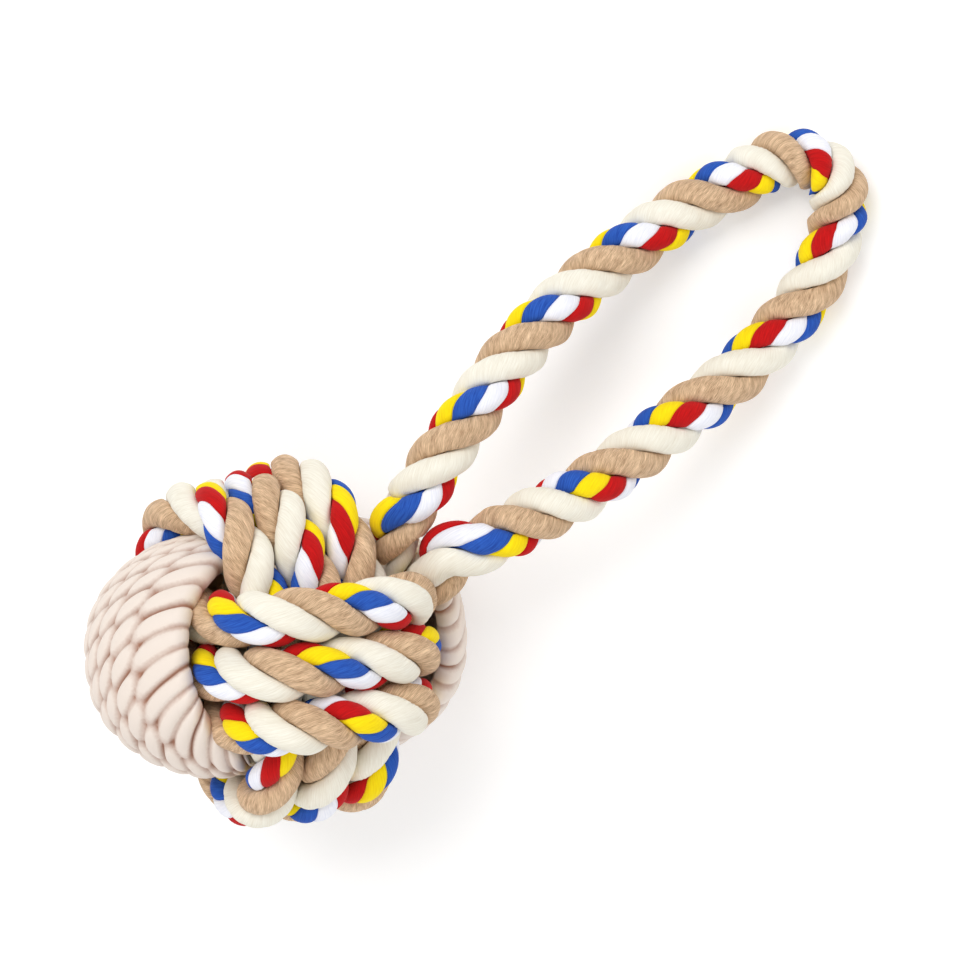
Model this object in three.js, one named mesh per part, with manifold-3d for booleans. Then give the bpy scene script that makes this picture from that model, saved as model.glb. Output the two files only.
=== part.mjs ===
import * as THREE from "three";
import { ParametricGeometry } from "three/addons/geometries/ParametricGeometry.js";
import { mergeVertices } from "three/addons/utils/BufferGeometryUtils.js";
import Module from "manifold-3d";

// A rope dog toy: a fist knot of two rope windings and a moulded ring round a core ball, with a
// long rope handle. Millimetres and degrees. The toy lies on the floor, its handle towards +X.

// Rope
const KNOT_ROPE_DIAMETER = 13.6; // pulled tight in the knot
const HANDLE_ROPE_DIAMETER = 16; // lying free in the handle
const ROW_GAP = 0.9; // between neighbouring rows of a winding
const CLEARANCE = 0.4; // between pieces that lie against each other

// Core
const CORE_DIAMETER = 43;

// Windings: three rows each, the outer rows lying lower round the core
const OUTER_ROW_DROP = 2.7;
const MIDDLE_ROW_BULGE = 0.5;
const SIDE_ROOM = 1.7; // between the cross winding's sides and the upright winding's outer rows
const CROSS_DOWN = 1.2; // the cross winding sits below the knot's centre
const CROSS_FULLNESS = 3.8; // exponent of the cross winding's oval
const UPRIGHT_FULLNESS = 2.8; // of the upright winding's oval
// Room between the ring and the upright winding's left, middle and right row
const TOP_SLACK = [2.8, 6.4, 5];
const BOTTOM_SLACK = [2.4, 3.4, 1.8];

// Moulded ring: an oval band, bowed across, wide in its two lobes, narrow and pressed in under the
// upright winding, with rows of slanting ridges on its face
const RING_THICKNESS = 4;
const RING_RIM_THICKNESS = 2.4;
const RING_LOBE_WIDTH = 57;
const RING_LOBE_BACK = 2.5; // how far the lobes sit back
const RING_NECK_WIDTH = 22;
const RING_BOW = 10.8; // how far a lobe's rims draw in
const RING_NECK_BOW = 3.6;
const RING_BOW_POWER = 2.4;
const RING_BOW_START = 1.7; // exponent of how the bow grows along a lobe
const RING_PRESS = 0.135; // share of its height that the windings press in
const RING_PRESS_POWER = 8;
const RING_LOBE_START = 18; // where the lobes begin, from the ring's middle
const RING_LOBE_POWER = 0.6;
const RING_END_ROOM = 12.3; // between the cross winding and the ring's ends
const RING_TOP_ROOM = 11.4;
const RING_FULLNESS = 2.3;
const RIDGES = 35; // in each row
const RIDGE_HEIGHT = 2.3;
const RIDGE_SLANT = 6.5; // ridges that a row line passes from the front rim to the back rim
const RIDGE_ROWS = [1.12, 0.62, 0.3, 0, -0.3, -0.62, -1.12]; // edges of the rows across the face
const RIDGE_OVERLAP = 1.24; // of a ridge's length over its row

// How the knot lies: turned about the vertical, tipped and leaned
const KNOT_TURN = -39;
const KNOT_TIP = 37.4;
const KNOT_LEAN = -4;

// Handle: its legs leave the knot by the corner between the windings and the ring
const HANDLE_LIFT = 2; // its roots above the knot's centre
const FLOOR_CUT = HANDLE_ROPE_DIAMETER / 10; // flat where the rope presses on the floor
const HANDLE_ASIDE = -3; // middle of the two legs beside the knot's centre
// Route of the handle from its root: along in mm, across in rope diameters, share of the drop done
const HANDLE_ROUTE = [
  [2.5, 0.54, 0],
  [16.5, 0.82, 0.04],
  [34.5, 1.12, 0.18],
  [49.5, 1.36, 0.35],
  [64, 1.49, 0.53],
  [79.5, 1.51, 0.72],
  [95, 1.46, 0.87],
  [112, 1.35, 0.98],
  [127.5, 1.12, 1],
  [140, 0.94, 1],
  [148.5, 0.59, 1],
  [150.2, -0.05, 1],
  [143.5, -0.61, 1],
  [129.5, -1.06, 1],
  [117, -1.31, 0.99],
  [106, -1.42, 0.95],
  [90.5, -1.49, 0.83],
  [74, -1.43, 0.65],
  [58, -1.36, 0.45],
  [42, -1.24, 0.26],
  [26, -1, 0.11],
  [11, -0.76, 0.02],
];

// Fineness
const ROPE_SIDES = 10;
const STEPS_PER_TURN = 32;
const HANDLE_STEPS = 76;
const STEPS_PER_RIDGE = 4;
const FACE_PLACES = [-1, -0.81, -0.62, -0.46, -0.3, -0.15, 0, 0.15, 0.3, 0.46, 0.62, 0.81, 1];
const BACK_PLACES = [1, 0.5, 0, -0.5, -1];
const BALL_SIDES = 28;
const BALL_RINGS = 16;
const ROOT_SIDES = 16;
const ROOT_RINGS = 10;
const LINE_SAMPLES = 600;

// Sizes that follow
const knotRadius = KNOT_ROPE_DIAMETER / 2;
const handleRadius = HANDLE_ROPE_DIAMETER / 2;
const rowPitch = KNOT_ROPE_DIAMETER + ROW_GAP;
const ropeStep = KNOT_ROPE_DIAMETER + CLEARANCE;
const seat = knotRadius + CLEARANCE;
const uprightDepth = CORE_DIAMETER / 2 + seat;
const crossDepth = uprightDepth + ropeStep;
const crossHalfWidth = rowPitch + ropeStep + SIDE_ROOM;
const ringInsideLength = crossHalfWidth + MIDDLE_ROW_BULGE + seat + RING_END_ROOM;
const ringInsideHeight = rowPitch + seat + RING_TOP_ROOM;
const ringLength = ringInsideLength + RING_THICKNESS;
const ringTop = ringInsideHeight + RING_THICKNESS;

// Distance from the centre of an oval to its edge in a direction
function ovalReach(angle, halfWide, halfHigh, fullness) {
  const wide = Math.abs(Math.cos(angle) / halfWide) ** fullness;
  const high = Math.abs(Math.sin(angle) / halfHigh) ** fullness;
  return (wide + high) ** (-1 / fullness);
}

// Height of an oval above its long axis at a place along it, short of its ends
const OVAL_END = 0.95;
function ovalHeight(along, halfWide, halfHigh, fullness) {
  const part = Math.min(Math.abs(along) / halfWide, OVAL_END) ** fullness;
  return halfHigh * (1 - part) ** (1 / fullness);
}

// Rows stay straight for most of a turn and step over to the next row in one part of it
function rowAt(turns, stepStart, stepEnd) {
  const whole = Math.floor(turns);
  const part = (turns - whole - stepStart) / (stepEnd - stepStart);
  return whole + THREE.MathUtils.clamp(part, 0, 1);
}

// Cross winding, from its left side over the front: rows along x, stacked upwards in y, stepping
// over at the back
const CROSS_STEP_START = 0.58;
const CROSS_STEP_END = 0.9;
function crossPoint(turns) {
  const angle = 2 * Math.PI * turns;
  const row = rowAt(turns, CROSS_STEP_START, CROSS_STEP_END) - 1;
  const outer = Math.min(row * row, 1);
  const wide = crossHalfWidth + MIDDLE_ROW_BULGE * (1 - outer);
  const reach = ovalReach(angle, wide, crossDepth, CROSS_FULLNESS);
  const y = row * rowPitch - CROSS_DOWN;
  return new THREE.Vector3(-reach * Math.cos(angle), y, reach * Math.sin(angle));
}

// Upright winding, from the bottom over the front: rows along y, stacked leftwards in x, stepping
// over at the top
const UPRIGHT_STEP_START = 0.365;
const UPRIGHT_STEP_END = 0.72;
function uprightPoint(turns) {
  const angle = 2 * Math.PI * turns;
  const row = 2 - rowAt(turns, UPRIGHT_STEP_START, UPRIGHT_STEP_END);
  const x = row * rowPitch;
  const outer = Math.min(row * row, 1);
  const slope = ringHeight(x + 1) - ringHeight(x);
  const [left, middle, right] = Math.cos(angle) < 0 ? TOP_SLACK : BOTTOM_SLACK;
  const beside = row < 0 ? left : right;
  const slack = middle + (beside - middle) * Math.min(Math.abs(row), 1);
  const high = ringHeight(x) + seat * Math.hypot(1, slope) + slack;
  const deep = uprightDepth - OUTER_ROW_DROP * outer;
  const reach = ovalReach(angle, high, deep, UPRIGHT_FULLNESS);
  return new THREE.Vector3(x, -reach * Math.cos(angle), reach * Math.sin(angle));
}

// Outer line of the moulded ring, pressed in at the top and bottom, with the direction out of it
function ringLine(round) {
  const reach = ovalReach(round, ringLength, ringTop, RING_FULLNESS);
  const x = reach * Math.cos(round);
  const y = reach * Math.sin(round);
  const nx = Math.sign(x) * Math.abs(x / ringLength) ** (RING_FULLNESS - 1) / ringLength;
  const ny = Math.sign(y) * Math.abs(y / ringTop) ** (RING_FULLNESS - 1) / ringTop;
  const press = 1 - RING_PRESS * Math.abs(Math.sin(round)) ** RING_PRESS_POWER;
  return { at: new THREE.Vector3(x, y * press, 0), out: new THREE.Vector3(nx, ny, 0).normalize() };
}

// Height of that line above the ring's middle
function ringHeight(x) {
  const high = ovalHeight(x, ringLength, ringTop, RING_FULLNESS);
  return ringLine(Math.atan2(high, x)).at.y;
}

// A place on the ring: round it, across its face from 1 at the front rim to -1 at the back rim,
// and how deep below the face
function ringPlace(round, across, depth) {
  const { at, out } = ringLine(round);
  const begun = Math.max(Math.abs(at.x) - RING_LOBE_START, 0) / (ringLength - RING_LOBE_START);
  const lobe = begun ** RING_LOBE_POWER;
  const half = (RING_NECK_WIDTH + (RING_LOBE_WIDTH - RING_NECK_WIDTH) * lobe) / 2;
  const bow = RING_NECK_BOW + (RING_BOW - RING_NECK_BOW) * begun ** RING_BOW_START;
  const drawn = bow * Math.abs(across) ** RING_BOW_POWER;
  const steep = Math.sign(across) * bow * RING_BOW_POWER * Math.abs(across) ** (RING_BOW_POWER - 1);
  const lean = Math.hypot(half, steep);
  const front = half * across - RING_LOBE_BACK * lobe - (depth * steep) / lean;
  return at.addScaledVector(out, -drawn - (depth * half) / lean).setZ(front);
}

// Ridges of the face: slanting pillows, in rows that are half a step apart
function ridgeHeight(steps, across) {
  let height = 0;
  for (let row = 0; row + 1 < RIDGE_ROWS.length; row++) {
    const middle = (RIDGE_ROWS[row] + RIDGE_ROWS[row + 1]) / 2;
    const half = ((RIDGE_ROWS[row] - RIDGE_ROWS[row + 1]) / 2) * RIDGE_OVERLAP;
    const along = Math.abs((across - middle) / half) ** 2.5;
    const place = steps + row / 2;
    const beside = Math.abs(2 * (place - Math.round(place))) ** 2.5;
    height = Math.max(height, Math.sqrt(Math.max(0, 1 - along - beside)));
  }
  return height;
}

// The ring's angles at even steps of length, measured half-way between its crest and its rim
function evenRounds() {
  const samples = LINE_SAMPLES * 2;
  const far = [0];
  for (let i = 1; i <= samples; i++) {
    const from = ringPlace((2 * Math.PI * (i - 1)) / samples, 0.5, 0);
    far.push(far[i - 1] + from.distanceTo(ringPlace((2 * Math.PI * i) / samples, 0.5, 0)));
  }
  return (share) => {
    const sought = (share - Math.floor(share)) * far[samples];
    let i = 1;
    while (far[i] < sought) i++;
    const part = (sought - far[i - 1]) / (far[i] - far[i - 1]);
    return (2 * Math.PI * (i - 1 + part)) / samples;
  };
}

// Surface of the moulded ring: u round it, v round its section, the mesh turning with the ridges
const section = [
  ...FACE_PLACES.map((across) => ({ across, face: true })),
  { across: 1, rim: true },
  ...BACK_PLACES.map((across) => ({ across })),
  { across: -1, rim: true },
];
const roundAt = evenRounds();
function ringPoint(u, v, target) {
  const { across, face, rim } = section[Math.round(v * section.length) % section.length];
  const round = roundAt(u + (RIDGE_SLANT * (1 - across)) / 2 / RIDGES);
  if (face) {
    const relief = RIDGE_HEIGHT * (ridgeHeight(u * RIDGES, across) - 0.5);
    target.copy(ringPlace(round, across, -relief));
  } else if (rim) {
    const edge = ringPlace(round, across, RING_RIM_THICKNESS / 2);
    const inward = ringPlace(round, across * 0.96, RING_RIM_THICKNESS / 2);
    target.copy(edge).addScaledVector(edge.clone().sub(inward).normalize(), RING_RIM_THICKNESS / 2);
  } else {
    const wall = RING_THICKNESS + (RING_RIM_THICKNESS - RING_THICKNESS) * across * across;
    target.copy(ringPlace(round, across, wall));
  }
}

// A winding's centreline between two counts of turns
function windingLine(point, from, to) {
  const count = Math.round((to - from) * STEPS_PER_TURN * 2);
  const points = [];
  for (let i = 0; i <= count; i++) points.push(point(from + ((to - from) * i) / count));
  const line = new THREE.CatmullRomCurve3(points);
  line.arcLengthDivisions = count * 4;
  return line;
}

// A rope of round section along a line
function rope(line, radius, steps) {
  const section = new THREE.Shape();
  for (let i = 0; i < ROPE_SIDES; i++) {
    const angle = (2 * Math.PI * i) / ROPE_SIDES;
    const x = radius * Math.cos(angle);
    const y = radius * Math.sin(angle);
    if (i === 0) section.moveTo(x, y);
    else section.lineTo(x, y);
  }
  section.closePath();
  return new THREE.ExtrudeGeometry(section, { steps, extrudePath: line, bevelEnabled: false });
}

// Least gap of a winding to itself, between places more than two diameters apart along it
function ownGap(line, diameter) {
  const length = line.getLength();
  const count = Math.ceil(length / 2);
  const points = line.getSpacedPoints(count);
  const apart = Math.ceil((2 * diameter * count) / length);
  let least = Infinity;
  for (let i = 0; i <= count; i++)
    for (let j = i + apart; j <= count; j++)
      least = Math.min(least, points[i].distanceTo(points[j]));
  return least - diameter;
}

// Solids
const wasm = await Module();
wasm.setup();

function solid(geometry) {
  const bare = geometry.clone();
  bare.deleteAttribute("normal");
  bare.deleteAttribute("uv");
  const merged = mergeVertices(bare, 1e-4);
  return new wasm.Manifold(
    new wasm.Mesh({
      numProp: 3,
      vertProperties: merged.attributes.position.array,
      triVerts: new Uint32Array(merged.index.array),
    }),
  );
}

function geometryOf(made) {
  const mesh = made.getMesh();
  const geometry = new THREE.BufferGeometry();
  geometry.setAttribute("position", new THREE.BufferAttribute(mesh.vertProperties, 3));
  geometry.setIndex(new THREE.BufferAttribute(mesh.triVerts, 1));
  geometry.computeVertexNormals();
  return geometry;
}

// Turn starts and ends of the windings, tucked in the corners of the knot
const CROSS_START = -0.31;
const CROSS_END = 2.77;
const UPRIGHT_START = 0.93;
const UPRIGHT_END = 3.56;

const crossLine = windingLine(crossPoint, CROSS_START, CROSS_END);
const uprightLine = windingLine(uprightPoint, UPRIGHT_START, UPRIGHT_END);
const crossSteps = Math.round((CROSS_END - CROSS_START) * STEPS_PER_TURN);
const uprightSteps = Math.round((UPRIGHT_END - UPRIGHT_START) * STEPS_PER_TURN);

const toWorld = new THREE.Matrix4().makeRotationFromEuler(
  new THREE.Euler(
    THREE.MathUtils.degToRad(KNOT_LEAN),
    THREE.MathUtils.degToRad(KNOT_TIP),
    THREE.MathUtils.degToRad(KNOT_TURN),
    "ZYX",
  ),
);
const knotPieces = {
  core_ball: new THREE.SphereGeometry(CORE_DIAMETER / 2, BALL_SIDES, BALL_RINGS),
  cross_winding: rope(crossLine, knotRadius, crossSteps),
  upright_winding: rope(uprightLine, knotRadius, uprightSteps),
  moulded_ring: new ParametricGeometry(ringPoint, RIDGES * STEPS_PER_RIDGE, section.length),
};
const knotBounds = new THREE.Box3();
for (const geometry of Object.values(knotPieces)) {
  geometry.applyMatrix4(toWorld);
  geometry.computeBoundingBox();
  knotBounds.union(geometry.boundingBox);
}
const knotHeight = -knotBounds.min.z - FLOOR_CUT;
for (const geometry of Object.values(knotPieces)) geometry.translate(0, 0, knotHeight);

// The legs' roots slide out of the corner of the knot until they lie clear in it
const rootSpread = (HANDLE_ROPE_DIAMETER + CLEARANCE) / 2;
const low = handleRadius - FLOOR_CUT;
const placed = (line) =>
  line.getSpacedPoints(LINE_SAMPLES).map((p) => p.applyMatrix4(toWorld).setZ(p.z + knotHeight));
const windingPoints = [crossLine, uprightLine].flatMap(placed);
const ringSurface = knotPieces.moulded_ring.attributes.position;
const ringPoints = [];
for (let i = 0; i < ringSurface.count; i++)
  ringPoints.push(new THREE.Vector3().fromBufferAttribute(ringSurface, i));

function clearOfKnot(p) {
  const clearOfRope = windingPoints.every((w) => p.distanceTo(w) >= handleRadius + seat);
  return clearOfRope && ringPoints.every((r) => p.distanceTo(r) >= handleRadius + CLEARANCE);
}

const ROOT_STEP = 0.1;
function rootAt(y) {
  const root = new THREE.Vector3(crossHalfWidth, y, knotHeight + HANDLE_LIFT);
  while (!clearOfKnot(root)) root.x += ROOT_STEP;
  return root;
}
const leftRoot = rootAt(HANDLE_ASIDE + rootSpread);
const rightRoot = rootAt(HANDLE_ASIDE - rootSpread);
const root = leftRoot.clone().lerp(rightRoot, 0.5);

const routePoints = HANDLE_ROUTE.map(
  ([along, across, drop]) =>
    new THREE.Vector3(
      root.x + along,
      root.y + across * HANDLE_ROPE_DIAMETER,
      root.z + (low - root.z) * drop,
    ),
);
const handle = new THREE.CatmullRomCurve3([leftRoot, ...routePoints, rightRoot]);
handle.arcLengthDivisions = LINE_SAMPLES;

console.log("cross winding's least gap to itself", ownGap(crossLine, KNOT_ROPE_DIAMETER).toFixed(2));
console.log("upright winding's least gap to itself", ownGap(uprightLine, KNOT_ROPE_DIAMETER).toFixed(2));
console.log("handle's least gap to itself", ownGap(handle, HANDLE_ROPE_DIAMETER).toFixed(2));
console.log("handle length", handle.getLength().toFixed(1));

// The handle's ends are rounded about the line that the legs flex on
const rootBall = (p) =>
  solid(new THREE.SphereGeometry(handleRadius, ROOT_SIDES, ROOT_RINGS).translate(p.x, p.y, p.z));
const legs = solid(rope(handle, handleRadius, HANDLE_STEPS));
const handleSolid = legs.add(rootBall(leftRoot)).add(rootBall(rightRoot));

// Everything that presses on the floor is cut flat there
const BELOW = 400;
const floor = solid(new THREE.BoxGeometry(BELOW * 2, BELOW * 2, BELOW).translate(0, 0, -BELOW / 2));

const finishes = {
  core_ball: { color: 0xd9c7a8, roughness: 0.8 },
  cross_winding: { color: 0xe6d7bd, roughness: 0.95 },
  upright_winding: { color: 0xe2d2b6, roughness: 0.95 },
  moulded_ring: { color: 0xe9d5c6, roughness: 0.6 },
  handle_loop: { color: 0xe8dac2, roughness: 0.95 },
};
const solids = { handle_loop: handleSolid };
for (const [name, geometry] of Object.entries(knotPieces)) solids[name] = solid(geometry);

const toy = new THREE.Group();
for (const [name, made] of Object.entries(solids)) {
  const finish = new THREE.MeshStandardMaterial({ ...finishes[name], metalness: 0 });
  const mesh = new THREE.Mesh(geometryOf(made.subtract(floor)), finish);
  mesh.name = name;
  toy.add(mesh);
}

// The origin lies on the floor under the middle of the whole toy
const middle = new THREE.Box3().setFromObject(toy).getCenter(new THREE.Vector3()).setZ(0);
for (const mesh of toy.children) mesh.geometry.translate(-middle.x, -middle.y, 0);
const written = (p) => p.clone().sub(middle).toArray().map((n) => n.toFixed(2)).join(" ");
console.log("knot's centre", written(new THREE.Vector3(0, 0, knotHeight)));
console.log("handle roots", written(leftRoot), "and", written(rightRoot));

export default toy;
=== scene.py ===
# %% [markdown]
# # A rope dog toy
# The toy is a fist knot the size of a grapefruit, wound from laid rope round a core ball, with a
# ridged rubber ring worked into it and a long loop of the same rope to pull on. The lesson
# dresses the plain solids of the toy: rope strand by strand, the ring with its ridges, and the
# finishes of cotton, jute and rubber. Sizes are in millimetres and are turned to metres by MM.

# %% Load the plain solids
import math
import bpy
import numpy as np
from mathutils import Matrix, Vector


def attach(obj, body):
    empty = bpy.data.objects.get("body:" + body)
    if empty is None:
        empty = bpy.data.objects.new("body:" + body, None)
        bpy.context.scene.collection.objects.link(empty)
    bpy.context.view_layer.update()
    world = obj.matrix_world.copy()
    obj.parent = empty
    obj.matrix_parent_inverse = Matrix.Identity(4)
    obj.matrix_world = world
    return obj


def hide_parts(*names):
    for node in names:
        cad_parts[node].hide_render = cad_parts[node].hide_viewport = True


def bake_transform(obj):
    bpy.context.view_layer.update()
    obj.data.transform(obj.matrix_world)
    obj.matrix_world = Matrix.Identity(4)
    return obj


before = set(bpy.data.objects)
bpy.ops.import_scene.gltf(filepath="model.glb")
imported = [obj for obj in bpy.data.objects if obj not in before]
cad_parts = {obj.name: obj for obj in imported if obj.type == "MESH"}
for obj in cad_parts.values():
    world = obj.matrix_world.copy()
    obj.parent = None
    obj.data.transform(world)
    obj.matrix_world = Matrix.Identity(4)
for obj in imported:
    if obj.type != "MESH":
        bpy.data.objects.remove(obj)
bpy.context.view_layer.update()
bpy.ops.object.select_all(action="DESELECT")
MM = 0.001
TURN = 2 * math.pi
print("solids:", sorted(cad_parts))

# %% [markdown]
# ## Camera
# The camera comes first, because the lay of the rope is set by the places where its coloured
# strand turns to the viewer. It looks almost straight down, from a little beyond the knot, with a
# long lens. Its three axes are written out, so that nothing has to be aimed by eye.

# %% Camera
EYE = np.array([148.32, -3.52, 769.64]) * MM
RIGHT = np.array([0.73822, -0.65606, -0.15691])
UP = np.array([0.64172, 0.75471, -0.13640])
BACK = np.array([0.20791, 0.0, 0.97815])
bpy.ops.object.camera_add()
camera = bpy.context.object
camera.name = "camera"
camera.data.sensor_width = 36
camera.data.lens = 98.7
camera.data.clip_start = 0.05
placing = np.eye(4)
placing[:3, :3] = np.column_stack([RIGHT, UP, BACK])
placing[:3, 3] = EYE
camera.matrix_world = Matrix(placing.tolist())
bpy.context.scene.camera = camera
print("camera at", EYE.round(3), "lens", camera.data.lens)

# %% [markdown]
# ## The line of a rope
# A rope is first a line in space. The handle's line goes through given points, and a smooth
# curve joins them. Along the line, each step gets two directions across it that are carried on
# from the step before without twisting, so that later all twist comes from the rope's own lay.


# %% Lines and the directions across them
def smooth_line(points, parts=24):
    points = np.asarray(points, float)
    before = 2 * points[0] - points[1]
    after = 2 * points[-1] - points[-2]
    p = np.vstack([before, points, after])
    knots = np.concatenate([[0], np.cumsum(np.linalg.norm(np.diff(p, axis=0), axis=1) ** 0.5)])
    speed = np.diff(p, axis=0) / np.diff(knots)[:, None]
    wide = (p[2:] - p[:-2]) / (knots[2:] - knots[:-2])[:, None]
    tangent = speed[:-1] - wide + speed[1:]
    line = []
    for i in range(len(points) - 1):
        span = knots[i + 2] - knots[i + 1]
        t = np.linspace(0, 1, parts, endpoint=False)[:, None]
        line.append(
            (2 * t**3 - 3 * t**2 + 1) * points[i]
            + (t**3 - 2 * t**2 + t) * span * tangent[i]
            + (3 * t**2 - 2 * t**3) * points[i + 1]
            + (t**3 - t**2) * span * tangent[i + 1]
        )
    return np.vstack(line + [points[-1:]])


def distances(line):
    return np.concatenate([[0], np.cumsum(np.linalg.norm(np.diff(line, axis=0), axis=1))])


def even_line(line, step):
    far = distances(line)
    count = int(round(far[-1] / step))
    places = np.linspace(0, far[-1], count + 1)
    return np.column_stack([np.interp(places, far, line[:, k]) for k in range(3)])


FIRST_UP = [0.0, 0.3, 1.0]


def across(line):
    forward = np.gradient(line, axis=0)
    forward /= np.linalg.norm(forward, axis=1)[:, None]
    side = np.cross(forward[0], FIRST_UP)
    sides = []
    for f in forward:
        side = side - f * (side @ f)
        side = side / np.linalg.norm(side)
        sides.append(side)
    sides = np.array(sides)
    return forward, sides, np.cross(forward, sides)


# %% [markdown]
# ## Lay of the rope
# Three strands are laid right-handed: an ivory cotton one, a jute one and one of four coloured
# yarns. Going along the rope, a coloured strand is followed by ivory and then jute. A mark says
# how far along the rope the coloured strand looks at the camera, and which yarn is then in the
# middle, counting yellow 0, blue 1, white 2, red 3. Between marks the lay goes on evenly. Yarns
# are twisted the other way inside their strand, by a little more than one turn for each turn of
# the rope, so that their stripes run nearly along it.

# %% Angles of the strands along a rope
LAY = 36.0
YARN_TURNS = 1.05
QUARTER = TURN / 4


def lay_angles(line, marks):
    _, sides, ups = across(line)
    far = distances(line) / MM
    places, strand, yarn = [], [], []
    for place, facing_yarn in marks:
        i = int(np.argmin(abs(far - place)))
        look = EYE - line[i]
        facing = math.atan2(look @ ups[i], look @ sides[i])
        if not places:
            strand.append(facing)
            yarn.append(facing - facing_yarn * QUARTER)
        else:
            due = strand[-1] + TURN * (place - places[-1]) / LAY
            new = facing + TURN * round((due - facing) / TURN)
            middle = facing - facing_yarn * QUARTER
            due = yarn[-1] - YARN_TURNS * (new - strand[-1])
            strand.append(new)
            yarn.append(middle + TURN * round((due - middle) / TURN))
        places.append(place)
    end = max(far[-1], places[-1]) + 1
    lead = TURN * (places[0] + 1) / LAY
    tail = TURN * (end - places[-1]) / LAY
    places = [-1, *places, end]
    strand = [strand[0] - lead, *strand, strand[-1] + tail]
    yarn = [yarn[0] + YARN_TURNS * lead, *yarn, yarn[-1] - YARN_TURNS * tail]
    return np.interp(far, places, strand), np.interp(far, places, yarn)


# %% [markdown]
# ## Section of a strand
# In a laid rope the three strands press each other flat where they meet and stay round outside.
# So a strand's section is a circle beside the rope's middle, cut by two planes a third of a turn
# apart, with the corners rounded. The tube that follows it turns with its yarns, which meet a
# little further out than the circle's middle, and shallow furrows between them are in the mesh.

# %% Tubes from sections
STRAND_OFF = 0.37
STRAND_ROUND = 0.63
STRAND_GAP = 0.012
YARNS_MEET = 0.45
CORNER = 9
THIRD = TURN / 3


def strand_reach(angle):
    ahead = YARNS_MEET - STRAND_OFF
    outside = np.sqrt(STRAND_ROUND**2 - (ahead * np.sin(angle)) ** 2) - ahead * np.cos(angle)
    wall = YARNS_MEET * math.sin(THIRD / 2) - STRAND_GAP
    reach = outside**-CORNER
    for hand in (1, -1):
        lean = np.sin(hand * angle - THIRD / 2)
        reach += (np.maximum(lean, 0) / wall) ** CORNER
    return reach ** (-1 / CORNER)


def tube(name, rings, far, girth):
    steps, sides = rings.shape[:2]
    i = np.arange(steps - 1)[:, None]
    j = np.arange(sides)[None, :]
    k = (j + 1) % sides
    here, ahead = i * sides, (i + 1) * sides
    quads = np.stack([here + j, here + k, ahead + k, ahead + j], -1).reshape(-1, 4).tolist()
    ends = [list(range(sides))[::-1], list(range((steps - 1) * sides, steps * sides))]
    mesh = bpy.data.meshes.new(name)
    mesh.from_pydata(rings.reshape(-1, 3).tolist(), [], quads + ends)
    u = np.stack([far[:-1], far[:-1], far[1:], far[1:]], -1)[:, None, :]
    v = np.stack([j[0], j[0] + 1, j[0] + 1, j[0]], -1)[None, :, :] * (girth / sides)
    u, v = np.broadcast_arrays(u, v)
    flat = np.stack([u, v], -1).reshape(-1, 2)
    caps = np.zeros((2 * sides, 2))
    layer = mesh.uv_layers.new(name="lay")
    layer.data.foreach_set("uv", np.vstack([flat, caps]).ravel())
    mesh.polygons.foreach_set("use_smooth", [True] * len(quads) + [False, False])
    piece = bpy.data.objects.new(name, mesh)
    bpy.context.scene.collection.objects.link(piece)
    return piece


# %% [markdown]
# ## One rope, six pieces
# The ivory and the jute strand are one tube each, furrowed by their yarns. The coloured strand is
# four wedge-shaped yarns that meet in its middle, each a piece of its own, so that each has its
# own dye. All follow the same line, and they thin out where the rope is pulled into the knot.
# Where the rope lies on the floor it is pressed flat, a little rounded at the edge of the flat.

# %% Lay a rope from its line and marks
YARN_DYES = ("yellow", "blue", "white", "red")
STRAND_SIDES, STRAND_FURROW = 40, 0.05
YARN_SIDES, YARN_FURROW = 13, 0.2
PRESS = 0.8 * MM


def pressed(points):
    low = points[..., 2]
    points[..., 2] = np.where(low < PRESS, PRESS * np.exp(np.minimum(low / PRESS - 1, 0)), low)
    return points


def valley(place, full):
    return 1 - np.sqrt(1 - full * place**2)


def lay_rope(name, line, radius, marks, thin=1.0):
    _, out, up = across(line)
    strand, yarn = lay_angles(line, marks)
    far = distances(line) / MM
    size = radius * MM * thin * np.ones(len(line))

    def sections(turned, places, furrow):
        angle = places + yarn[:, None]
        reach = strand_reach(angle - turned[:, None]) * (1 - furrow)
        x = YARNS_MEET * np.cos(turned)[:, None] + reach * np.cos(angle)
        y = YARNS_MEET * np.sin(turned)[:, None] + reach * np.sin(angle)
        x, y = x * size[:, None], y * size[:, None]
        return pressed(line[:, None] + x[..., None] * out[:, None] + y[..., None] * up[:, None])

    made = {}
    around = np.arange(STRAND_SIDES) * TURN / STRAND_SIDES
    girth = TURN * radius * STRAND_ROUND
    for dye, shift, plies in (("ivory", -THIRD, 5), ("jute", THIRD, 4)):
        place = (around * plies / math.pi) % 2 - 1
        rings = sections(strand + shift, around, STRAND_FURROW * valley(place, 0.97))
        made[dye] = tube(f"{name}_{dye}", rings, far, girth)
    for k, dye in enumerate(YARN_DYES):
        place = np.linspace(-1, 1, YARN_SIDES)
        facing = QUARTER * k + place * QUARTER / 2
        rings = sections(strand, facing, YARN_FURROW * valley(place, 0.95))
        middle = YARNS_MEET * (np.cos(strand)[:, None] * out + np.sin(strand)[:, None] * up)
        apex = line + middle * size[:, None]
        rings = np.concatenate([rings, apex[:, None]], axis=1)
        made[dye] = tube(f"{name}_{dye}", rings, far, girth / len(YARN_DYES))
    lays = (strand[-1] - strand[0]) / TURN
    print(name, "length", round(far[-1]), "mm, turns of lay", round(lays, 1))
    return made


# %% [markdown]
# ## Handle
# The handle is one length of rope. It comes out of the knot by the corner between the windings,
# rises no higher than there, sinks to the floor and goes round its tip and back. Its points repeat
# those of the solid: how far along from the root, how far across in rope thicknesses, and what
# share of the way down to the floor. Both ends run on a little into the knot and thin out there.

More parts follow.
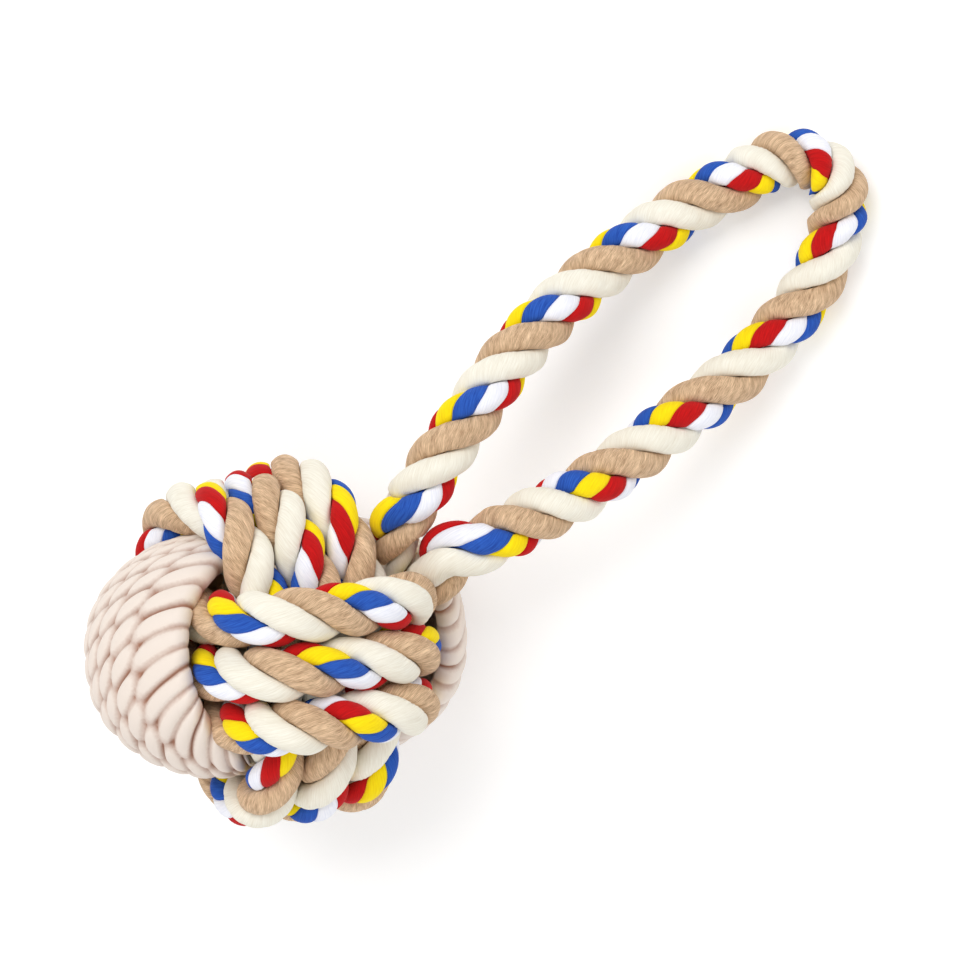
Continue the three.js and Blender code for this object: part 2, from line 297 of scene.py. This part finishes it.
# %% Handle line
KNOT = np.array([-79.91, -2.04, 50.32])
LEFT_ROOT = np.array([-29.01, 3.16, 52.32])
RIGHT_ROOT = np.array([-24.81, -13.24, 52.32])
HANDLE_ROPE = 16.0
HANDLE_RADIUS = 8.5
HANDLE_STEP = 0.8
FLATTENED = 0.5
HANDLE_ROUTE = [
    (2.5, 0.54, 0), (16.5, 0.82, 0.04), (34.5, 1.12, 0.18), (49.5, 1.36, 0.35), (64, 1.49, 0.53),
    (79.5, 1.51, 0.72), (95, 1.46, 0.87), (112, 1.35, 0.98), (127.5, 1.12, 1), (140, 0.94, 1),
    (147.2, 0.53, 1), (148.6, -0.06, 1), (142.6, -0.55, 1), (129.5, -1.06, 1), (117, -1.31, 0.99),
    (106, -1.42, 0.95), (90.5, -1.49, 0.83), (74, -1.43, 0.65), (58, -1.36, 0.45),
    (42, -1.24, 0.26), (26, -1, 0.11), (11, -0.76, 0.02),
]


def turning(axis, degrees):
    return np.array(Matrix.Rotation(math.radians(degrees), 3, axis))


KNOT_AXES = turning("Z", -39) @ turning("Y", 37.4) @ turning("X", -4)


def from_knot(points):
    return np.asarray(points, float) @ KNOT_AXES.T + KNOT


root = (LEFT_ROOT + RIGHT_ROOT) / 2
droop = HANDLE_RADIUS - FLATTENED - root[2]
route = [root + (ahead, aside * HANDLE_ROPE, droop * down) for ahead, aside, down in HANDLE_ROUTE]
left_inside = from_knot([(23.4, 24.2, 15.9), (28, 19, 15)])
right_inside = from_knot([(36.8, 16.2, 26), (30.5, 8, 6)])
handle_points = np.vstack([left_inside, LEFT_ROOT, route, RIGHT_ROOT, right_inside])
handle_line = even_line(smooth_line(handle_points * MM), HANDLE_STEP * MM)
print("handle", len(handle_points), "points,", round(distances(handle_line)[-1] / MM), "mm")

# %% Handle rope
HANDLE_MARKS = [
    (31, 1.15), (66, 1.5), (101, 1.8), (136, 2.3), (170, 2.7), (194, 3.25),
    (214.5, 2.5), (248.5, 2.6), (286.5, 3.0), (321.5, 4.0), (352.5, 5.2), (404, 5.5),
]
along = distances(handle_line) / MM
inside = np.minimum(along, along[-1] - along)
handle_thin = np.interp(inside, [0, 10, 26], [0.55, 0.62, 1.0])
handle = lay_rope("handle", handle_line, HANDLE_RADIUS, HANDLE_MARKS, handle_thin)

# %% [markdown]
# ## Windings
# Two ropes are wound on the core. The cross winding lies over the front in three level rows and
# steps to the next row at the back. The upright winding goes under it at the front, over the ring
# at the top and bottom, and steps to the next row where it crosses the top. Each is an oval that
# is nearly a rounded square, as the rows pull flat between the corners. The end of the top row is
# pressed down a little by the handle's leg that comes out over it. Both ends of each rope are
# tucked in under the rows. Where three sizes are given, they are for the three rows.

# %% Lines of the two windings
ROW = 15.0
ROWS = (-1, 0, 1)
KNOT_RADIUS = 7.8
WINDING_STEP = 0.9
CROSS_LEFT = (25.2, 30.3, 28.5)
CROSS_RIGHT = (26.5, 29.3, 28.7)
CROSS_DEEP = 43.6
CROSS_FULL = 3.8
CROSS_DOWN = 1.8
LEG_PRESS = 2.4
UPRIGHT_TOP = (41.8, 46.4, 46.5)
UPRIGHT_BOTTOM = (42.4, 43.5, 42.5)
UPRIGHT_DEEP = 29.0
OUTER_LESS = 2.7
UPRIGHT_FULL = 2.6
UPRIGHT_RIGHT = 1.0
LAST_STEP = 0.83


def oval_reach(angle, wide, high, full):
    return (abs(np.cos(angle) / wide) ** full + abs(np.sin(angle) / high) ** full) ** (-1 / full)


def row_at(turns, start, end):
    whole = np.floor(turns)
    return whole + np.clip((turns - whole - start) / (end - start), 0, 1)


def eased(share):
    share = np.clip(share, 0, 1)
    return share * share * (3 - 2 * share)


def tucked(turns, first, last, over, share):
    return 1 - share * eased((first - turns) / over) - share * eased((turns - last) / over)


def cross_point(turns):
    angle = TURN * turns
    row = row_at(turns, start=0.58, end=0.9) - 1
    left = np.interp(row, ROWS, CROSS_LEFT)
    right = np.interp(row, ROWS, CROSS_RIGHT)
    wide = np.where(np.cos(angle) > 0, left, right)
    reach = oval_reach(angle, wide, CROSS_DEEP, CROSS_FULL)
    reach *= tucked(turns, first=-0.20, last=2.70, over=0.14, share=0.45)
    level = row * ROW - CROSS_DOWN - LEG_PRESS * eased((turns - 2.32) / 0.07)
    return np.stack([-reach * np.cos(angle), level, reach * np.sin(angle)], -1)


def upright_point(turns):
    angle = TURN * turns
    row = 2 - row_at(turns, start=0.305, end=0.602)
    row = np.where(row < -1, -1 + LAST_STEP * (row + 1), row)
    top = np.interp(row, ROWS, UPRIGHT_TOP)
    bottom = np.interp(row, ROWS, UPRIGHT_BOTTOM)
    high = np.where(np.cos(angle) < 0, top, bottom)
    groove_shade = UPRIGHT_DEEP - OUTER_LESS * np.minimum(row**2, 1)
    reach = oval_reach(angle, high, groove_shade, UPRIGHT_FULL)
    reach *= tucked(turns, first=0.97, last=3.57, over=0.12, share=0.5)
    return np.stack([row * ROW + UPRIGHT_RIGHT, -reach * np.cos(angle), reach * np.sin(angle)], -1)


# %% [markdown]
# The marks of a winding are given in turns, and are changed here to distances along its line.

# %% Winding ropes
CROSS_MARKS = [
    (0.141, -0.3), (0.249, 3.6), (1.112, 0.8), (1.234, 0.8), (2.148, 0.7), (2.277, 1.4),
]
UPRIGHT_MARKS = [
    (1.042, -1.3), (1.398, 2.8), (2.000, 3.0), (2.362, 2.2), (2.472, 1.3),
    (2.948, 0.0), (3.110, 3.3), (3.451, 2.4), (3.573, 1.6),
]


def wind(name, point, start, end, marks):
    turns = np.linspace(start, end, 3000)
    line = from_knot(point(turns)) * MM
    far = distances(line) / MM
    placed = [(float(np.interp(turn, turns, far)), yarn) for turn, yarn in marks]
    return lay_rope(name, even_line(line, WINDING_STEP * MM), KNOT_RADIUS, placed)


cross = wind("cross", cross_point, -0.34, 2.84, CROSS_MARKS)
upright = wind("upright", upright_point, 0.85, 3.69, UPRIGHT_MARKS)

# %% [markdown]
# ## Moulded ring
# The ring is one rubber moulding that imitates a wrapped rope: an oval band, bowed across, wide in
# its two lobes and narrow in its two necks, where the upright winding presses it in. A place on it
# is told by three numbers: how far round, how far across the face from 1 at the front rim to -1 at
# the back rim, and how deep below the face. A mould maker would sweep the same bowed section round
# the same oval. The soft front rim is drawn in a little further beside the bottom row.

# %% Places on the ring
RING_LONG = 54.2
RING_HIGH = 37.1
RING_FULL = 2.3
RING_WALL = 6.0
RING_LOBE = 57.0
RING_NECK = 22.0
RING_BOW = 10.8
BOW_POWER = 2.4
LOBE_BACK = 2.5
NECK_BOW = 3.6
NECK_PRESS = 0.135
NECK_REACH = 18
RIM_OVER, RIM_OVER_AT, RIM_OVER_SPAN = 4.6, 3.75, 0.45


def ring_line(round_angle):
    reach = oval_reach(round_angle, RING_LONG, RING_HIGH, RING_FULL)
    line = np.stack([reach * np.cos(round_angle), reach * np.sin(round_angle)], -1)
    sides = np.array([RING_LONG, RING_HIGH])
    outward = np.sign(line) * abs(line / sides) ** (RING_FULL - 1) / sides
    outward /= np.linalg.norm(outward, axis=-1)[..., None]
    line[..., 1] *= 1 - NECK_PRESS * abs(np.sin(round_angle)) ** 8
    return line, outward


def ring_place(round_angle, across_face, depth):
    line, outward = ring_line(round_angle)
    begun = np.maximum(abs(line[..., 0]) - NECK_REACH, 0) / (RING_LONG - NECK_REACH)
    lobe = begun**0.6
    half = (RING_NECK + (RING_LOBE - RING_NECK) * lobe) / 2
    beside_row = np.exp(-(((round_angle - RIM_OVER_AT) / RIM_OVER_SPAN) ** 2)) * (across_face > 0)
    bow = NECK_BOW + (RING_BOW - NECK_BOW) * begun**1.7 + RIM_OVER * beside_row
    drawn = bow * abs(across_face) ** BOW_POWER
    steep = np.sign(across_face) * bow * BOW_POWER * abs(across_face) ** (BOW_POWER - 1)
    lean = np.hypot(half, steep)
    flat = line - outward * (drawn + depth * half / lean)[..., None]
    front = half * across_face - LOBE_BACK * lobe - depth * steep / lean
    return np.concatenate([flat, front[..., None]], -1)


right_rim = ring_place(np.zeros(1), np.ones(1), np.zeros(1))
print("ring from", right_rim.round(1), "at its right front rim")

# %% [markdown]
# The ridges lie in six rows across the face, wider at the rims, with 35 ridges in each row and
# neighbouring rows half a step apart. A ridge is a plump pillow with round ends, and all of them
# slant: from the front rim to the back rim they shift round by six and a half ridges.

# %% Ridges of the ring
RIDGES = 35
RIDGE_SLANT = 6.5
RIDGE_HIGH = 2.3
RIDGE_OVERLAP = 1.24
RIDGE_PLUMP = 2.5
RIDGE_ROWS = [1.12, 0.62, 0.3, 0, -0.3, -0.62, -1.12]


def ridge_height(steps, across_face):
    height = np.zeros(steps.shape)
    for row in range(len(RIDGE_ROWS) - 1):
        middle = (RIDGE_ROWS[row] + RIDGE_ROWS[row + 1]) / 2
        half = (RIDGE_ROWS[row] - RIDGE_ROWS[row + 1]) / 2 * RIDGE_OVERLAP
        place = steps + row / 2
        along_ridge = abs((across_face - middle) / half) ** RIDGE_PLUMP
        beside = abs(2 * (place - np.round(place))) ** RIDGE_PLUMP
        height = np.maximum(height, np.sqrt(np.clip(1 - along_ridge - beside, 0, 1)))
    return height


# %% [markdown]
# A torus has its faces in order already: round the ring and round the section. Its points are moved
# to the face, the rounded rims and the inner side in turn. Blender makes no more than 256 points
# round a torus, so each takes the nearest of the finer places that are worked out below. Going
# across the face, each line of points shifts round with the slant, so that the grooves run along
# the mesh and stay clean.

# %% Shape the ring from a torus
ROUND_POINTS = RIDGES * 20
FACE, RIM, INNER = 88, 9, 10
SECTION_POINTS = FACE + RIM + INNER + RIM
bpy.ops.mesh.primitive_torus_add(
    major_radius=RING_LONG * MM,
    minor_radius=8 * MM,
    major_segments=ROUND_POINTS,
    minor_segments=SECTION_POINTS,
)
ring = bpy.context.object
ring.name = "moulded_ring_ridged"
torus = np.empty(len(ring.data.vertices) * 3)
ring.data.vertices.foreach_get("co", torus)
torus = torus.reshape(-1, 3) / MM
lift = np.hypot(torus[:, 0], torus[:, 1]) - RING_LONG
where_round = np.arctan2(torus[:, 1], torus[:, 0]) * ROUND_POINTS / TURN
where_section = (np.arctan2(lift, torus[:, 2]) / TURN + 0.25) * SECTION_POINTS
where_round = np.round(where_round).astype(int) % ROUND_POINTS
where_section = np.round(where_section).astype(int) % SECTION_POINTS

# %% Points of the face and the inner side
turned = np.linspace(0, TURN, 2001)
round_far = distances(ring_place(turned, np.full_like(turned, 0.5), np.zeros_like(turned)))
print("round the ring", round(round_far[-1]), "mm")


def round_at(share, across_face):
    share = share + RIDGE_SLANT * (1 - across_face) / 2 / RIDGES
    return np.interp(share % 1 * round_far[-1], round_far, turned)


shares = np.arange(ROUND_POINTS)[:, None] / ROUND_POINTS
over_face = np.linspace(1, -1, FACE)[None, :] + 0 * shares
over_inner = np.linspace(-1, 1, INNER)[None, :] + 0 * shares
ridge = ridge_height(shares * RIDGES + 0 * over_face, over_face)
face = ring_place(round_at(shares, over_face), over_face, -RIDGE_HIGH * (ridge - 0.5))
inner = ring_place(round_at(shares, over_inner), over_inner, RING_WALL + 0 * over_inner)


# %% Rims, and the whole ring
def rounded_rim(start, end, before):
    middle, reach = (start + end) / 2, (start - end) / 2
    out = start - before
    out -= reach * ((out * reach).sum(-1) / (reach * reach).sum(-1))[:, None]
    out *= (np.linalg.norm(reach, axis=-1) / np.linalg.norm(out, axis=-1))[:, None]
    turn = np.linspace(0, math.pi, RIM + 2)[1:-1][None, :, None]
    return middle[:, None] + np.cos(turn) * reach[:, None] + np.sin(turn) * out[:, None]


back_rim = rounded_rim(face[:, -1], inner[:, 0], face[:, -3])
front_rim = rounded_rim(face[:, 0], inner[:, -1], face[:, 2])[:, ::-1]
band = np.concatenate([face, back_rim, inner, front_rim], axis=1)
# How deep each point lies in a groove; the ring's finish paints shade into the grooves by it.
depth = np.zeros(band.shape[:2])
depth[:, :FACE] = 1 - ridge
depth[:, FACE : FACE + RIM] = depth[:, FACE - 1 : FACE]
depth[:, -RIM:] = depth[:, :1]
shaped = pressed(from_knot(band.reshape(-1, 3)) * MM)
order = where_round * SECTION_POINTS + where_section
ring.data.vertices.foreach_set("co", shaped[order].ravel())
groove = ring.data.attributes.new("groove", "FLOAT", "POINT")
groove.data.foreach_set("value", depth.ravel()[order])
bpy.ops.object.shade_smooth()
rows = len(RIDGE_ROWS) - 1
print("ring", len(ring.data.vertices), "points,", RIDGES, "ridges in each of", rows, "rows")

# %% [markdown]
# ## Finishes
# Cotton, jute and dyed yarn are all bundles of fibres, so they share one node group. It reads the
# rope's own map, in millimetres along and round each strand, and gives fine streaks that run along
# the yarn and broader patches. Each finish then has its own colours, fineness and depth of nap.


# %% Fibre group
def fibre_group():
    group = bpy.data.node_groups.new("fibres", "ShaderNodeTree")
    for name in ("Slant", "Fineness"):
        group.interface.new_socket(name, in_out="INPUT", socket_type="NodeSocketFloat")
    for name in ("Streaks", "Patches"):
        group.interface.new_socket(name, in_out="OUTPUT", socket_type="NodeSocketFloat")
    nodes, links = group.nodes, group.links
    given, put = nodes.new("NodeGroupInput"), nodes.new("NodeGroupOutput")
    lay = nodes.new("ShaderNodeUVMap")
    lay.uv_map = "lay"
    parts = nodes.new("ShaderNodeSeparateXYZ")
    links.new(lay.outputs[0], parts.inputs[0])
    slanted = nodes.new("ShaderNodeMath")
    slanted.operation = "MULTIPLY_ADD"
    links.new(parts.outputs[0], slanted.inputs[0])
    links.new(given.outputs["Slant"], slanted.inputs[1])
    links.new(parts.outputs[1], slanted.inputs[2])
    joined = nodes.new("ShaderNodeCombineXYZ")
    links.new(parts.outputs[0], joined.inputs[0])
    links.new(slanted.outputs[0], joined.inputs[1])
    patterns = (("Streaks", 0.26, 2.6, 4.0), ("Patches", 0.10, 0.30, 2.0))
    for name, along_scale, round_scale, detail in patterns:
        stretch = nodes.new("ShaderNodeMapping")
        stretch.inputs["Scale"].default_value = (along_scale, round_scale, 1)
        links.new(joined.outputs[0], stretch.inputs["Vector"])
        noise = nodes.new("ShaderNodeTexNoise")
        noise.inputs["Detail"].default_value = detail
        noise.inputs["Roughness"].default_value = 0.6
        links.new(stretch.outputs[0], noise.inputs["Vector"])
        links.new(given.outputs["Fineness"], noise.inputs["Scale"])
        links.new(noise.outputs["Fac"], put.inputs[name])
    return group


FIBRES = fibre_group()


def linear(colour):
    return [((c / 255 + 0.055) / 1.055) ** 2.4 if c > 10 else c / 255 / 12.92 for c in colour] + [1]


def fibre_finish(name, dark, light, slant, fineness, nap, patchy, sheen):
    finish = bpy.data.materials.new(name)
    finish.use_nodes = True
    nodes, links = finish.node_tree.nodes, finish.node_tree.links
    shader = nodes["Principled BSDF"]
    fibres = nodes.new("ShaderNodeGroup")
    fibres.node_tree = FIBRES
    fibres.inputs["Slant"].default_value = slant
    fibres.inputs["Fineness"].default_value = fineness
    shade = nodes.new("ShaderNodeMath")
    shade.operation = "MULTIPLY_ADD"
    shade.inputs[1].default_value = patchy
    links.new(fibres.outputs["Patches"], shade.inputs[0])
    links.new(fibres.outputs["Streaks"], shade.inputs[2])
    ramp = nodes.new("ShaderNodeValToRGB")
    ramp.color_ramp.elements[0].position = 0.3 + 0.3 * patchy
    ramp.color_ramp.elements[1].position = 0.68 + 0.6 * patchy
    ramp.color_ramp.elements[0].color = linear(dark)
    ramp.color_ramp.elements[1].color = linear(light)
    links.new(shade.outputs[0], ramp.inputs[0])
    links.new(ramp.outputs[0], shader.inputs["Base Color"])
    bump = nodes.new("ShaderNodeBump")
    bump.inputs["Strength"].default_value = nap
    bump.inputs["Distance"].default_value = 0.25 * MM
    links.new(fibres.outputs["Streaks"], bump.inputs["Height"])
    links.new(bump.outputs[0], shader.inputs["Normal"])
    shader.inputs["Roughness"].default_value = 0.92
    shader.inputs["Specular IOR Level"].default_value = 0.25
    shader.inputs["Sheen Weight"].default_value = sheen
    shader.inputs["Sheen Roughness"].default_value = 0.5
    return finish


# %% Rope finishes
COTTON = dict(slant=0.1, fineness=1.0, nap=0.35, patchy=0.3, sheen=0.1)
JUTE = dict(slant=0.1, fineness=1.9, nap=1.2, patchy=0.5, sheen=0.1)
DYED = dict(slant=0.1, fineness=1.0, nap=0.3, patchy=0.2, sheen=0.05)
ROPE_FINISHES = {
    "ivory": fibre_finish("ivory_cotton", (228, 220, 202), (247, 244, 231), **COTTON),
    "jute": fibre_finish("jute", (136, 92, 56), (255, 221, 181), **JUTE),
    "yellow": fibre_finish("yellow_yarn", (240, 205, 0), (255, 232, 10), **DYED),
    "blue": fibre_finish("blue_yarn", (24, 62, 150), (48, 100, 196), **DYED),
    "white": fibre_finish("white_yarn", (226, 228, 240), (250, 250, 255), **DYED),
    "red": fibre_finish("red_yarn", (165, 6, 10), (208, 14, 16), **DYED),
}
for rope in (handle, cross, upright):
    for dye, piece in rope.items():
        piece.data.materials.append(ROPE_FINISHES[dye])
print("rope finishes:", ", ".join(ROPE_FINISHES))

# %% [markdown]
# The ring is matt rubber. Its grooves are painted a little darker and pinker than the tops of the
# ridges:
# painted shade in the grooves, with warm light bounced into them. The mesh carries the depth of the
# groove as an attribute, which sets how much painted shade each place gets. The core ball, which is
# hidden, keeps the solid's own shape and gets a plain rubber.


# %% Rubber finishes
def rubber_finish(name, top, groove_shade, grain):
    finish = bpy.data.materials.new(name)
    finish.use_nodes = True
    nodes, links = finish.node_tree.nodes, finish.node_tree.links
    shader = nodes["Principled BSDF"]
    groove = nodes.new("ShaderNodeAttribute")
    groove.attribute_name = "groove"
    place = nodes.new("ShaderNodeTexCoord")
    noise = nodes.new("ShaderNodeTexNoise")
    noise.inputs["Scale"].default_value = grain
    noise.inputs["Detail"].default_value = 4.0
    links.new(place.outputs["Object"], noise.inputs["Vector"])
    mixed = nodes.new("ShaderNodeMath")
    mixed.operation = "MULTIPLY_ADD"
    mixed.inputs[1].default_value = 0.25
    links.new(noise.outputs["Fac"], mixed.inputs[0])
    links.new(groove.outputs["Fac"], mixed.inputs[2])
    # The ramp runs from the ridge-top colour to a darker, pinker colour deep in the grooves:
    # painted shade.
    ramp = nodes.new("ShaderNodeValToRGB")
    ramp.color_ramp.elements[0].position = 0.3
    ramp.color_ramp.elements[1].position = 1.0
    ramp.color_ramp.elements[0].color = linear(top)
    ramp.color_ramp.elements[1].color = linear(groove_shade)
    links.new(mixed.outputs[0], ramp.inputs[0])
    links.new(ramp.outputs[0], shader.inputs["Base Color"])
    bump = nodes.new("ShaderNodeBump")
    bump.inputs["Strength"].default_value = 0.15
    bump.inputs["Distance"].default_value = 0.2 * MM
    links.new(noise.outputs["Fac"], bump.inputs["Height"])
    links.new(bump.outputs[0], shader.inputs["Normal"])
    shader.inputs["Roughness"].default_value = 0.55
    shader.inputs["Specular IOR Level"].default_value = 0.35
    return finish


# The second colour is the painted shade deep in the ring's grooves.
ring.data.materials.append(rubber_finish("ring_rubber", (234, 221, 210), (166, 120, 98), 900))
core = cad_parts["core_ball"]
core.data.materials.clear()
core.data.materials.append(rubber_finish("core_rubber", (216, 198, 168), (190, 170, 140), 500))
print("rubber finishes on", ring.name, "and", core.name)

# %% [markdown]
# ## What moves with what
# The knot's pieces ride on the knot, and the plain solids they stand for are hidden. The handle's
# six pieces get their placing baked into their points and are not attached to any body here.

# %% Ride, replace and bake
for piece in (*cross.values(), *upright.values(), ring):
    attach(piece, "knot")
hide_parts("cross_winding")
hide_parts("upright_winding")
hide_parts("moulded_ring")
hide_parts("handle_loop")
for piece in handle.values():
    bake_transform(piece)
print("on the knot", len(cross) + len(upright) + 1, "pieces, bending with the handle", len(handle))

# %% [markdown]
# ## Floor and light
# The toy lies on a plain white floor under soft studio light: one large lamp over the top, two
# weaker ones from the sides, and an even sky. The level is set so that every colour comes out
# about as it is written. The floor glows a little for the camera alone, which keeps it plain white
# round the toy and keeps the soft shadow too.

# %% Floor
bpy.ops.mesh.primitive_plane_add(size=6)
floor = bpy.context.object
floor.name = "floor"
floor_white = bpy.data.materials.new("floor_white")
floor_white.use_nodes = True
white = floor_white.node_tree.nodes["Principled BSDF"]
white.inputs["Base Color"].default_value = (0.97, 0.97, 0.97, 1)
white.inputs["Roughness"].default_value = 1.0
white.inputs["Emission Color"].default_value = (1, 1, 1, 1)
nodes, links = floor_white.node_tree.nodes, floor_white.node_tree.links
seen = nodes.new("ShaderNodeLightPath")
glow = nodes.new("ShaderNodeMath")
glow.operation = "MULTIPLY"
glow.inputs[1].default_value = 0.15
links.new(seen.outputs["Is Camera Ray"], glow.inputs[0])
links.new(glow.outputs[0], white.inputs["Emission Strength"])
floor.data.materials.append(floor_white)
print("floor", tuple(floor.dimensions))


# %% Lamps and sky
LAMP_AIM = np.array([0, 0, 0.03])
LAMP_SIZE = 0.9


def lamp(name, place, power):
    bpy.ops.object.light_add(type="AREA", location=place)
    made = bpy.context.object
    made.name = name
    made.data.size = LAMP_SIZE
    made.data.energy = power
    away = np.asarray(place) - LAMP_AIM
    made.rotation_euler = Vector(away).to_track_quat("Z", "Y").to_euler()
    print(name, power, "W")


lamp("key_lamp", (0.25, 0.75, 1.1), 10.6)
lamp("fill_lamp", (-0.9, -0.4, 0.8), 4.6)
lamp("side_lamp", (0.8, -0.8, 0.6), 3.8)
world = bpy.data.worlds.new("studio")
bpy.context.scene.world = world
world.use_nodes = True
sky = world.node_tree.nodes["Background"]
sky.inputs["Color"].default_value = (1, 1, 1, 1)
sky.inputs["Strength"].default_value = 0.49
bpy.context.scene.view_settings.view_transform = "Standard"
